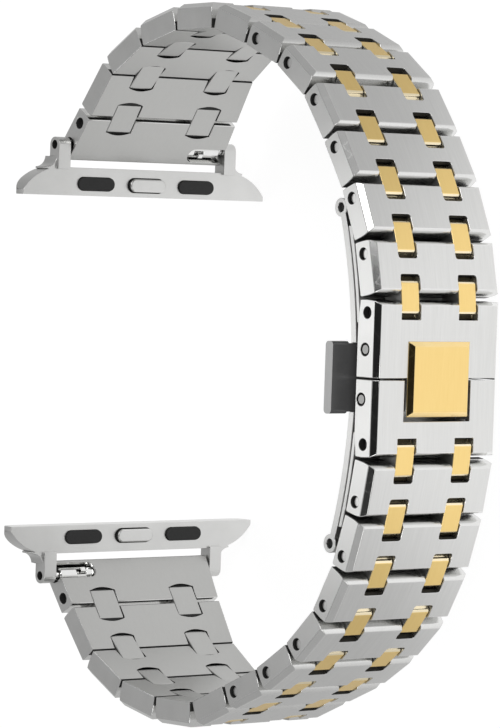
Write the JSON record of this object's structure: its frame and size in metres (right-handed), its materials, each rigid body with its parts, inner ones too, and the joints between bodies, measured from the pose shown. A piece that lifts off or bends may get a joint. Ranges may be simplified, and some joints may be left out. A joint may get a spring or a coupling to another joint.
{
  "type": "metal watch bracelet",
  "caption": "Two-tone steel and gold link watch bracelet with a double folding clasp and sliding lug adapters on quick-release bars.",
  "frame": {"origin": "centre of the gold plate's outer face on the closed clasp", "axes": "+X out of the clasp, +Y along the chain through the clasp to the upper half, +Z along every hinge pin"},
  "size_m": [0.0505, 0.0724, 0.0314],
  "materials": {
    "satin_steel": "satin, brushed along the chain",
    "polished_steel": "polished",
    "blasted_steel": "fine blasted",
    "gold_steel": "satin gold tone",
    "black_coated": "black coated",
    "rubber": "matt"
  },
  "bodies": {
    "clasp_base": {"clasp_base": "polished_steel"},
    "upper_arm": {"upper_arm": "polished_steel"},
    "upper_cover": {"upper_cover": "satin_steel", "gold_plate": "gold_steel"},
    "upper_connectors_01": {"upper_connectors_01": "gold_steel"},
    "upper_link_01": {"upper_link_01": "satin_steel"},
    "upper_connectors_02": {"upper_connectors_02": "gold_steel"},
    "upper_link_02": {"upper_link_02": "satin_steel"},
    "upper_connectors_03": {"upper_connectors_03": "gold_steel"},
    "upper_link_03": {"upper_link_03": "satin_steel"},
    "upper_connectors_04": {"upper_connectors_04": "gold_steel"},
    "upper_link_04": {"upper_link_04": "satin_steel"},
    "upper_connectors_05": {"upper_connectors_05": "gold_steel"},
    "upper_link_05": {"upper_link_05": "satin_steel"},
    "upper_connectors_06": {"upper_connectors_06": "gold_steel"},
    "upper_link_06": {"upper_link_06": "satin_steel"},
    "upper_connectors_07": {"upper_connectors_07": "gold_steel"},
    "upper_link_07": {"upper_link_07": "satin_steel"},
    "upper_connectors_08": {"upper_connectors_08": "gold_steel"},
    "upper_link_08": {"upper_link_08": "satin_steel"},
    "upper_connectors_09": {"upper_connectors_09": "gold_steel"},
    "upper_link_09": {"upper_link_09": "satin_steel"},
    "upper_connectors_10": {"upper_connectors_10": "gold_steel"},
    "upper_link_10": {"upper_link_10": "satin_steel"},
    "upper_connectors_11": {"upper_connectors_11": "gold_steel"},
    "upper_link_11": {"upper_link_11": "satin_steel"},
    "upper_connectors_12": {"upper_connectors_12": "gold_steel"},
    "upper_end_link": {"upper_end_link": "satin_steel"},
    "upper_adapter": {"upper_adapter": "blasted_steel"},
    "upper_lock_button": {"upper_lock_button": "polished_steel"},
    "lower_arm": {"lower_arm": "polished_steel"},
    "lower_cover": {"lower_cover": "satin_steel"},
    "lower_connectors_01": {"lower_connectors_01": "gold_steel"},
    "lower_link_01": {"lower_link_01": "satin_steel"},
    "lower_connectors_02": {"lower_connectors_02": "gold_steel"},
    "lower_link_02": {"lower_link_02": "satin_steel"},
    "lower_connectors_03": {"lower_connectors_03": "gold_steel"},
    "lower_link_03": {"lower_link_03": "satin_steel"},
    "lower_connectors_04": {"lower_connectors_04": "gold_steel"},
    "lower_link_04": {"lower_link_04": "satin_steel"},
    "lower_connectors_05": {"lower_connectors_05": "gold_steel"},
    "lower_link_05": {"lower_link_05": "satin_steel"},
    "lower_connectors_06": {"lower_connectors_06": "gold_steel"},
    "lower_link_06": {"lower_link_06": "satin_steel"},
    "lower_connectors_07": {"lower_connectors_07": "gold_steel"},
    "lower_link_07": {"lower_link_07": "satin_steel"},
    "lower_connectors_08": {"lower_connectors_08": "gold_steel"},
    "lower_link_08": {"lower_link_08": "satin_steel"},
    "lower_connectors_09": {"lower_connectors_09": "gold_steel"},
    "lower_link_09": {"lower_link_09": "satin_steel"},
    "lower_connectors_10": {"lower_connectors_10": "gold_steel"},
    "lower_link_10": {"lower_link_10": "satin_steel"},
    "lower_connectors_11": {"lower_connectors_11": "gold_steel"},
    "lower_link_11": {"lower_link_11": "satin_steel"},
    "lower_connectors_12": {"lower_connectors_12": "gold_steel"},
    "lower_end_link": {"lower_end_link": "satin_steel"},
    "lower_adapter": {"lower_adapter": "blasted_steel"},
    "lower_lock_button": {"lower_lock_button": "polished_steel"},
    "left_push_button": {"left_push_button": "black_coated"},
    "right_push_button": {"right_push_button": "black_coated"}
  },
  "joints": [
    {"name": "upper_arm_hinge", "type": "hinge", "parent": "clasp_base", "child": "upper_arm", "pos_m": [-0.00697, 0.0161, 0], "axis": [0, 0, 1], "range_deg": [0, 150]},
    {"name": "upper_cover_hinge", "type": "hinge", "parent": "upper_arm", "child": "upper_cover", "pos_m": [-0.0022, 0.00275, 0], "axis": [0, 0, 1], "range_deg": [-150, 0]},
    {"name": "upper_connectors_01_hinge", "type": "hinge", "parent": "upper_cover", "child": "upper_connectors_01", "pos_m": [-0.00205, 0.00625, 0], "axis": [0, 0, 1], "range_deg": [-9, 0]},
    {"name": "upper_link_01_hinge", "type": "hinge", "parent": "upper_connectors_01", "child": "upper_link_01", "pos_m": [-0.00235, 0.00908, 0], "axis": [0, 0, 1], "range_deg": [-9, 0]},
    {"name": "upper_connectors_02_hinge", "type": "hinge", "parent": "upper_link_01", "child": "upper_connectors_02", "pos_m": [-0.00292, 0.01177, 0], "axis": [0, 0, 1], "range_deg": [-9, 0]},
    {"name": "upper_link_02_hinge", "type": "hinge", "parent": "upper_connectors_02", "child": "upper_link_02", "pos_m": [-0.0038, 0.01448, 0], "axis": [0, 0, 1], "range_deg": [-9, 0]},
    {"name": "upper_connectors_03_hinge", "type": "hinge", "parent": "upper_link_02", "child": "upper_connectors_03", "pos_m": [-0.00492, 0.017, 0], "axis": [0, 0, 1], "range_deg": [-7.5, 7.5]},
    {"name": "upper_link_03_hinge", "type": "hinge", "parent": "upper_connectors_03", "child": "upper_link_03", "pos_m": [-0.00628, 0.0195, 0], "axis": [0, 0, 1], "range_deg": [-7.5, 7.5]},
    {"name": "upper_connectors_04_hinge", "type": "hinge", "parent": "upper_link_03", "child": "upper_connectors_04", "pos_m": [-0.00778, 0.02181, 0], "axis": [0, 0, 1], "range_deg": [-5, 10]},
    {"name": "upper_link_04_hinge", "type": "hinge", "parent": "upper_connectors_04", "child": "upper_link_04", "pos_m": [-0.00941, 0.02414, 0], "axis": [0, 0, 1], "range_deg": [-5, 10]},
    {"name": "upper_connectors_05_hinge", "type": "hinge", "parent": "upper_link_04", "child": "upper_connectors_05", "pos_m": [-0.01107, 0.02634, 0], "axis": [0, 0, 1], "range_deg": [-12, 3]},
    {"name": "upper_link_05_hinge", "type": "hinge", "parent": "upper_connectors_05", "child": "upper_link_05", "pos_m": [-0.01312, 0.02832, 0], "axis": [0, 0, 1], "range_deg": [-12, 3]},
    {"name": "upper_connectors_06_hinge", "type": "hinge", "parent": "upper_link_05", "child": "upper_connectors_06", "pos_m": [-0.01537, 0.0299, 0], "axis": [0, 0, 1], "range_deg": [-9.5, 5.5]},
    {"name": "upper_link_06_hinge", "type": "hinge", "parent": "upper_connectors_06", "child": "upper_link_06", "pos_m": [-0.01787, 0.03126, 0], "axis": [0, 0, 1], "range_deg": [-9.5, 5.5]},
    {"name": "upper_connectors_07_hinge", "type": "hinge", "parent": "upper_link_06", "child": "upper_connectors_07", "pos_m": [-0.02042, 0.03229, 0], "axis": [0, 0, 1], "range_deg": [-5.5, 9.5]},
    {"name": "upper_link_07_hinge", "type": "hinge", "parent": "upper_connectors_07", "child": "upper_link_07", "pos_m": [-0.02311, 0.03324, 0], "axis": [0, 0, 1], "range_deg": [-5.5, 9.5]},
    {"name": "upper_connectors_08_hinge", "type": "hinge", "parent": "upper_link_07", "child": "upper_connectors_08", "pos_m": [-0.02574, 0.03404, 0], "axis": [0, 0, 1], "range_deg": [-12.5, 2.5]},
    {"name": "upper_link_08_hinge", "type": "hinge", "parent": "upper_connectors_08", "child": "upper_link_08", "pos_m": [-0.02857, 0.03441, 0], "axis": [0, 0, 1], "range_deg": [-12.5, 2.5]},
    {"name": "upper_connectors_09_hinge", "type": "hinge", "parent": "upper_link_08", "child": "upper_connectors_09", "pos_m": [-0.03131, 0.03432, 0], "axis": [0, 0, 1], "range_deg": [-10.5, 4.5]},
    {"name": "upper_link_09_hinge", "type": "hinge", "parent": "upper_connectors_09", "child": "upper_link_09", "pos_m": [-0.03412, 0.03385, 0], "axis": [0, 0, 1], "range_deg": [-10.5, 4.5]},
    {"name": "upper_connectors_10_hinge", "type": "hinge", "parent": "upper_link_09", "child": "upper_connectors_10", "pos_m": [-0.03675, 0.03304, 0], "axis": [0, 0, 1], "range_deg": [-11, 4]},
    {"name": "upper_link_10_hinge", "type": "hinge", "parent": "upper_connectors_10", "child": "upper_link_10", "pos_m": [-0.03934, 0.03184, 0], "axis": [0, 0, 1], "range_deg": [-11, 4]},
    {"name": "upper_connectors_11_hinge", "type": "hinge", "parent": "upper_link_10", "child": "upper_connectors_11", "pos_m": [-0.04164, 0.03034, 0], "axis": [0, 0, 1], "range_deg": [-14, 1]},
    {"name": "upper_link_11_hinge", "type": "hinge", "parent": "upper_connectors_11", "child": "upper_link_11", "pos_m": [-0.04369, 0.02836, 0], "axis": [0, 0, 1], "range_deg": [-14, 1]},
    {"name": "upper_connectors_12_hinge", "type": "hinge", "parent": "upper_link_11", "child": "upper_connectors_12", "pos_m": [-0.04527, 0.02611, 0], "axis": [0, 0, 1], "range_deg": [-3, 12]},
    {"name": "upper_end_link_hinge", "type": "hinge", "parent": "upper_connectors_12", "child": "upper_end_link", "pos_m": [-0.04691, 0.02377, 0], "axis": [0, 0, 1], "range_deg": [-3, 12]},
    {"name": "upper_adapter_hinge", "type": "hinge", "parent": "upper_end_link", "child": "upper_adapter", "pos_m": [-0.04848, 0.02152, 0], "axis": [0, 0, 1], "range_deg": [-45, 60]},
    {"name": "upper_lock_press", "type": "slide", "parent": "upper_adapter", "child": "upper_lock_button", "axis": [-1, 0, 0], "range_m": [0, 0.0004], "stiffness_N_per_m": 800},
    {"name": "lower_arm_hinge", "type": "hinge", "parent": "clasp_base", "child": "lower_arm", "pos_m": [-0.00697, -0.0161, 0], "axis": [0, 0, 1], "range_deg": [-150, 0]},
    {"name": "lower_cover_hinge", "type": "hinge", "parent": "lower_arm", "child": "lower_cover", "pos_m": [-0.00255, -0.002, 0], "axis": [0, 0, 1], "range_deg": [0, 150]},
    {"name": "lower_connectors_01_hinge", "type": "hinge", "parent": "lower_cover", "child": "lower_connectors_01", "pos_m": [-0.00205, -0.00625, 0], "axis": [0, 0, 1], "range_deg": [0, 9]},
    {"name": "lower_link_01_hinge", "type": "hinge", "parent": "lower_connectors_01", "child": "lower_link_01", "pos_m": [-0.00235, -0.00908, 0], "axis": [0, 0, 1], "range_deg": [0, 9]},
    {"name": "lower_connectors_02_hinge", "type": "hinge", "parent": "lower_link_01", "child": "lower_connectors_02", "pos_m": [-0.00292, -0.01177, 0], "axis": [0, 0, 1], "range_deg": [0, 6.5]},
    {"name": "lower_link_02_hinge", "type": "hinge", "parent": "lower_connectors_02", "child": "lower_link_02", "pos_m": [-0.00368, -0.01452, 0], "axis": [0, 0, 1], "range_deg": [0, 6.5]},
    {"name": "lower_connectors_03_hinge", "type": "hinge", "parent": "lower_link_02", "child": "lower_connectors_03", "pos_m": [-0.00458, -0.01712, 0], "axis": [0, 0, 1], "range_deg": [-6.5, 8.5]},
    {"name": "lower_link_03_hinge", "type": "hinge", "parent": "lower_connectors_03", "child": "lower_link_03", "pos_m": [-0.00576, -0.01971, 0], "axis": [0, 0, 1], "range_deg": [-6.5, 8.5]},
    {"name": "lower_connectors_04_hinge", "type": "hinge", "parent": "lower_link_03", "child": "lower_connectors_04", "pos_m": [-0.00713, -0.0221, 0], "axis": [0, 0, 1], "range_deg": [-3.5, 11.5]},
    {"name": "lower_link_04_hinge", "type": "hinge", "parent": "lower_connectors_04", "child": "lower_link_04", "pos_m": [-0.00891, -0.02433, 0], "axis": [0, 0, 1], "range_deg": [-3.5, 11.5]},
    {"name": "lower_connectors_05_hinge", "type": "hinge", "parent": "lower_link_04", "child": "lower_connectors_05", "pos_m": [-0.01092, -0.0262, 0], "axis": [0, 0, 1], "range_deg": [-7, 8]},
    {"name": "lower_link_05_hinge", "type": "hinge", "parent": "lower_connectors_05", "child": "lower_link_05", "pos_m": [-0.01316, -0.02796, 0], "axis": [0, 0, 1], "range_deg": [-7, 8]},
    {"name": "lower_connectors_06_hinge", "type": "hinge", "parent": "lower_link_05", "child": "lower_connectors_06", "pos_m": [-0.01547, -0.02945, 0], "axis": [0, 0, 1], "range_deg": [-7.5, 7.5]},
    {"name": "lower_link_06_hinge", "type": "hinge", "parent": "lower_connectors_06", "child": "lower_link_06", "pos_m": [-0.01798, -0.03081, 0], "axis": [0, 0, 1], "range_deg": [-7.5, 7.5]},
    {"name": "lower_connectors_07_hinge", "type": "hinge", "parent": "lower_link_06", "child": "lower_connectors_07", "pos_m": [-0.02049, -0.03193, 0], "axis": [0, 0, 1], "range_deg": [-12, 3]},
    {"name": "lower_link_07_hinge", "type": "hinge", "parent": "lower_connectors_07", "child": "lower_link_07", "pos_m": [-0.02309, -0.03309, 0], "axis": [0, 0, 1], "range_deg": [-12, 3]},
    {"name": "lower_connectors_08_hinge", "type": "hinge", "parent": "lower_link_07", "child": "lower_connectors_08", "pos_m": [-0.0256, -0.03421, 0], "axis": [0, 0, 1], "range_deg": [-0.5, 14.5]},
    {"name": "lower_link_08_hinge", "type": "hinge", "parent": "lower_connectors_08", "child": "lower_link_08", "pos_m": [-0.02839, -0.03483, 0], "axis": [0, 0, 1], "range_deg": [-0.5, 14.5]},
    {"name": "lower_connectors_09_hinge", "type": "hinge", "parent": "lower_link_08", "child": "lower_connectors_09", "pos_m": [-0.03114, -0.03488, 0], "axis": [0, 0, 1], "range_deg": [-5.5, 9.5]},
    {"name": "lower_link_09_hinge", "type": "hinge", "parent": "lower_connectors_09", "child": "lower_link_09", "pos_m": [-0.03397, -0.0346, 0], "axis": [0, 0, 1], "range_deg": [-5.5, 9.5]},
    {"name": "lower_connectors_10_hinge", "type": "hinge", "parent": "lower_link_09", "child": "lower_connectors_10", "pos_m": [-0.03666, -0.03403, 0], "axis": [0, 0, 1], "range_deg": [-3.5, 11.5]},
    {"name": "lower_link_10_hinge", "type": "hinge", "parent": "lower_connectors_10", "child": "lower_link_10", "pos_m": [-0.03933, -0.03303, 0], "axis": [0, 0, 1], "range_deg": [-3.5, 11.5]},
    {"name": "lower_connectors_11_hinge", "type": "hinge", "parent": "lower_link_10", "child": "lower_connectors_11", "pos_m": [-0.04174, -0.0317, 0], "axis": [0, 0, 1], "range_deg": [0, 15]},
    {"name": "lower_link_11_hinge", "type": "hinge", "parent": "lower_connectors_11", "child": "lower_link_11", "pos_m": [-0.04389, -0.02983, 0], "axis": [0, 0, 1], "range_deg": [0, 15]},
    {"name": "lower_connectors_12_hinge", "type": "hinge", "parent": "lower_link_11", "child": "lower_connectors_12", "pos_m": [-0.04554, -0.02763, 0], "axis": [0, 0, 1], "range_deg": [-10.5, 4.5]},
    {"name": "lower_end_link_hinge", "type": "hinge", "parent": "lower_connectors_12", "child": "lower_end_link", "pos_m": [-0.0472, -0.02531, 0], "axis": [0, 0, 1], "range_deg": [-10.5, 4.5]},
    {"name": "lower_adapter_hinge", "type": "hinge", "parent": "lower_end_link", "child": "lower_adapter", "pos_m": [-0.04874, -0.02303, 0], "axis": [0, 0, 1], "range_deg": [-60, 45]},
    {"name": "lower_lock_press", "type": "slide", "parent": "lower_adapter", "child": "lower_lock_button", "axis": [-1, 0, 0], "range_m": [0, 0.0004], "stiffness_N_per_m": 800},
    {"name": "left_button_press", "type": "slide", "parent": "clasp_base", "child": "left_push_button", "axis": [0, 0, -1], "range_m": [0, 0.0008], "stiffness_N_per_m": 600, "springref_m": -0.0005},
    {"name": "right_button_press", "type": "slide", "parent": "clasp_base", "child": "right_push_button", "axis": [0, 0, 1], "range_m": [0, 0.0008], "stiffness_N_per_m": 600, "springref_m": -0.0005}
  ],
  "couplings": [
    {"joint": "upper_cover_hinge", "follows": "upper_arm_hinge", "ratio": -1},
    {"joint": "lower_cover_hinge", "follows": "lower_arm_hinge", "ratio": -1}
  ]
}
